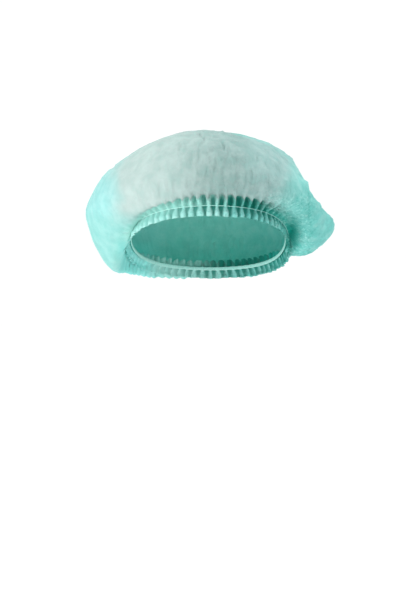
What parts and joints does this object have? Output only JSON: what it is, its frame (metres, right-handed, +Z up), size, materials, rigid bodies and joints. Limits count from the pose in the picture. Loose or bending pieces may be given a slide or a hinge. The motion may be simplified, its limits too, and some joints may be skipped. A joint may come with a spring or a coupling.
{
  "type": "disposable bouffant cap",
  "caption": "Thin spunbond bouffant cap as worn: a slack pouf gathered by elastic behind a stitch line, with a short pleated frill below.",
  "frame": {"origin": "inside the elastic loop, halfway from brow to nape, where the cap sits round a head", "axes": "+Z up, -Y towards the wearer's brow, +X towards the wearer's left"},
  "size_m": [0.2342, 0.2537, 0.1394],
  "materials": {
    "spunbond": "matte",
    "folded_hem": "matte",
    "elastic": "matte"
  },
  "bodies": {
    "root": {"crown": "spunbond", "hem_frill": "folded_hem", "elastic": "elastic"}
  },
  "joints": []
}
